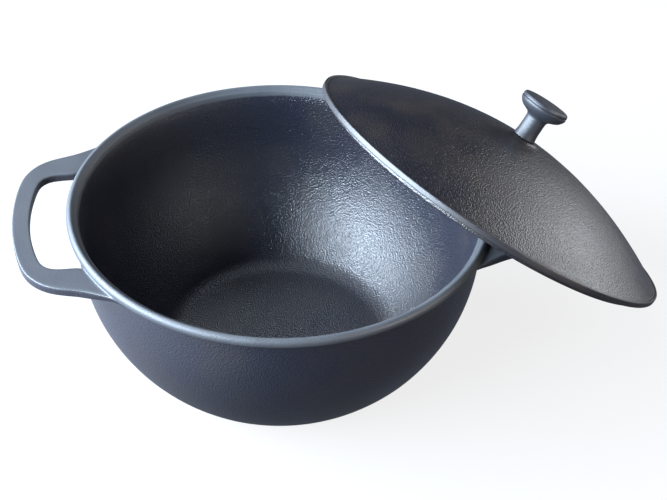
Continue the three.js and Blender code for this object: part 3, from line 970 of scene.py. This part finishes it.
def split_ring_mesh(knob, levels):
    """Spring washer: a square wire bent into one turn that doesn't quite meet."""
    top = levels["lock_top"]
    low = top - knob.lock_washer_thickness
    lift = 0.12 * MM
    section = ring_section(
        knob.screw_radius + knob.gap, knob.lock_washer_radius, low + lift / 2, top - lift / 2, WASHER_EDGE
    )
    bm = bmesh.new()
    face = bm.faces.new([bm.verts.new((radius, 0, height - lift / 2)) for radius, height in section])
    steps = 60
    sweep = math.tau - knob.lock_washer_split / knob.lock_washer_radius
    bmesh.ops.spin(
        bm, geom=[face], cent=(0, 0, 0), axis=(0, 0, 1), dvec=Vector((0, 0, lift / steps)), angle=sweep,
        steps=steps, use_duplicate=False,
    )
    bmesh.ops.rotate(
        bm, cent=(0, 0, 0), matrix=Matrix.Rotation((math.tau - sweep) / 2, 3, "Z"), verts=bm.verts,
    )
    bmesh.ops.recalc_face_normals(bm, faces=bm.faces)
    return bm


class OVEN_OT_fasteners(bpy.types.Operator):
    """Make the screw and the two washers that hold the knob"""

    bl_idname = "oven.make_fasteners"
    bl_label = "Screw and washers"

    def execute(self, context):
        scene = context.scene
        knob = scene.oven_knob
        levels = lid_levels(scene.oven_lid, knob)
        place = lid_place()
        plated = steel("plated_steel")
        finish_piece(screw_mesh(knob, levels), "slotted_screw", "knob", "knob_screw",
                     plated, place, smoothing=0)
        top = levels["washer_top"]
        flat = ring_section(knob.screw_radius + knob.gap, knob.flat_washer_radius,
                            top - knob.flat_washer_thickness, top, WASHER_EDGE)
        finish_piece(spin_outline(flat, WASHER_STEPS, closed=True), "punched_washer", "knob", "flat_washer",
                     plated, place, smoothing=0)
        finish_piece(split_ring_mesh(knob, levels), "spring_washer", "knob", "lock_washer",
                     plated, place, smoothing=0)
        return {"FINISHED"}


# ---------- stage ----------


def floor_material(colour):
    """Pale to look at. In reflections and bounced light it glows as a dim table, brighter towards the window:
    painted window light on the table, which lights the pot's sides and shows in them.
    """
    material = bpy.data.materials.new("pale_floor")
    material.use_nodes = True
    tree = Tree(material.node_tree)
    material.node_tree.nodes.remove(material.node_tree.nodes["Principled BSDF"])
    output = material.node_tree.nodes["Material Output"]
    pale = tree.add("ShaderNodeBsdfDiffuse")
    pale.inputs["Color"].default_value = (*colour, 1)
    glow = tree.add("ShaderNodeEmission")
    glow.inputs["Color"].default_value = (*colour, 1)
    glow.inputs["Strength"].default_value = 1.0
    seen = tree.add("ShaderNodeMixShader")
    seen.inputs[0].default_value = 0.92
    tree.join(pale.outputs[0], seen.inputs[1])
    tree.join(glow.outputs[0], seen.inputs[2])
    axes = tree.add("ShaderNodeSeparateXYZ")
    tree.join(tree.add("ShaderNodeTexCoord").outputs["Object"], axes.inputs[0])
    # Painted light: the table glows for reflections and bounced light, brighter towards the window, instead
    # of being lit by it.
    table = tree.add("ShaderNodeEmission")
    table.inputs["Color"].default_value = (0.70, 0.80, 1.0, 1)
    tree.join(tree.remap(axes.outputs["X"], -0.02, -0.28, 0.2, 1.7), table.inputs["Strength"])
    which = tree.add("ShaderNodeMixShader")
    tree.join(tree.add("ShaderNodeLightPath").outputs["Is Camera Ray"], which.inputs[0])
    tree.join(table.outputs[0], which.inputs[1])
    tree.join(seen.outputs[0], which.inputs[2])
    tree.join(which.outputs[0], output.inputs["Surface"])
    return material


def soft_light(name, bearing, elevation, distance, width, height, radiance, colour):
    """A window-like light that faces the pot. Bearing 0 is in front of it and 90 on the lid's side."""
    turn, rise = math.radians(bearing), math.radians(elevation)
    away = Vector((math.sin(turn) * math.cos(rise), -math.cos(turn) * math.cos(rise), math.sin(rise)))
    light = bpy.data.lights.new(name, "AREA")
    light.shape = "RECTANGLE"
    light.size, light.size_y = width, height
    light.energy = radiance * math.pi * width * height
    light.color = colour
    lamp = bpy.data.objects.new(name, light)
    facing = away.to_track_quat("Z", "Y").to_matrix().to_4x4()
    lamp.matrix_world = Matrix.Translation(LIGHT_AIM + away * distance) @ facing
    bpy.context.scene.collection.objects.link(lamp)


def add_camera(stage):
    """Camera with a slight roll, as if held in the hand."""
    place, aim = Vector(stage.camera_place), Vector(stage.camera_aim)
    back = (place - aim).normalized()
    camera = bpy.data.cameras.new("camera")
    camera.lens = stage.lens
    camera.clip_end = 50
    eye = bpy.data.objects.new("camera", camera)
    level = back.to_track_quat("Z", "Y").to_matrix().to_4x4()
    eye.matrix_world = Matrix.Translation(place) @ level @ Matrix.Rotation(stage.camera_roll, 4, "Z")
    bpy.context.scene.collection.objects.link(eye)
    bpy.context.scene.camera = eye


def add_world():
    """Pale behind the floor, and in reflections a dim room."""
    world = bpy.data.worlds.new("studio")
    bpy.context.scene.world = world
    world.use_nodes = True
    tree = Tree(world.node_tree)
    background = world.node_tree.nodes["Background"]
    seen = tree.add("ShaderNodeLightPath").outputs["Is Camera Ray"]
    tree.join(tree.mix(seen, ROOM_GLOW, BACKDROP), background.inputs["Color"])


class OVEN_OT_stage(bpy.types.Operator):
    """Make the camera, the pale floor and the soft light"""

    bl_idname = "oven.make_stage"
    bl_label = "Stage"

    def execute(self, context):
        stage = context.scene.oven_stage
        add_camera(stage)
        add_world()
        soft_light("window", bearing=-88, elevation=28, distance=1.6, width=2.7, height=1.0,
                   radiance=42.0, colour=(0.70, 0.84, 1.0))
        soft_light("back_window", bearing=-158, elevation=60, distance=1.6, width=1.0, height=0.7,
                   radiance=6.0, colour=(0.76, 0.86, 1.0))
        soft_light("room_side", bearing=106, elevation=14, distance=1.5, width=1.1, height=0.8,
                   radiance=6.0, colour=(0.93, 0.96, 1.0))
        soft_light("far_room", bearing=45, elevation=18, distance=1.6, width=0.9, height=0.6,
                   radiance=10.0, colour=(1.0, 0.93, 0.88))
        bm = bmesh.new()
        bmesh.ops.create_grid(bm, x_segments=1, y_segments=1, size=stage.floor_half)
        bmesh.ops.translate(bm, vec=(0, 0, -stage.floor_drop), verts=bm.verts)
        mesh = bpy.data.meshes.new("floor")
        bm.to_mesh(mesh)
        bm.free()
        mesh.materials.append(floor_material(stage.floor_colour))
        floor = bpy.data.objects.new("floor", mesh)
        context.scene.collection.objects.link(floor)
        context.scene.view_settings.view_transform = "Standard"
        return {"FINISHED"}


# ---------- panel and registration ----------

GROUPS = {
    "oven_pot": PotSizes, "oven_handles": HandleSizes, "oven_lid": LidSizes,
    "oven_knob": KnobSizes, "oven_finishes": Finishes, "oven_stage": StageSettings,
}
OPERATORS = (OVEN_OT_pot, OVEN_OT_lid, OVEN_OT_knob, OVEN_OT_fasteners, OVEN_OT_stage)


class OVEN_PT_panel(bpy.types.Panel):
    """Sizes, finishes and the buttons that make each piece"""

    bl_idname = "OVEN_PT_panel"
    bl_label = "Dutch oven"
    bl_space_type = "VIEW_3D"
    bl_region_type = "UI"
    bl_category = "Dutch oven"

    def draw(self, context):
        for name in GROUPS:
            box = self.layout.box()
            group = getattr(context.scene, name)
            for key in group.__annotations__:
                box.prop(group, key)
        for operator in OPERATORS:
            self.layout.operator(operator.bl_idname)


def register():
    for group in GROUPS.values():
        bpy.utils.register_class(group)
    for name, group in GROUPS.items():
        setattr(bpy.types.Scene, name, bpy.props.PointerProperty(type=group))
    for operator in OPERATORS:
        bpy.utils.register_class(operator)
    bpy.utils.register_class(OVEN_PT_panel)


def unregister():
    bpy.utils.unregister_class(OVEN_PT_panel)
    for operator in reversed(OPERATORS):
        bpy.utils.unregister_class(operator)
    for name, group in GROUPS.items():
        delattr(bpy.types.Scene, name)
        bpy.utils.unregister_class(group)


def main():
    register()
    bpy.ops.oven.make_pot()
    bpy.ops.oven.make_lid()
    bpy.ops.oven.make_knob()
    bpy.ops.oven.make_fasteners()
    bpy.ops.oven.make_stage()


if __name__ == "__main__":
    main()
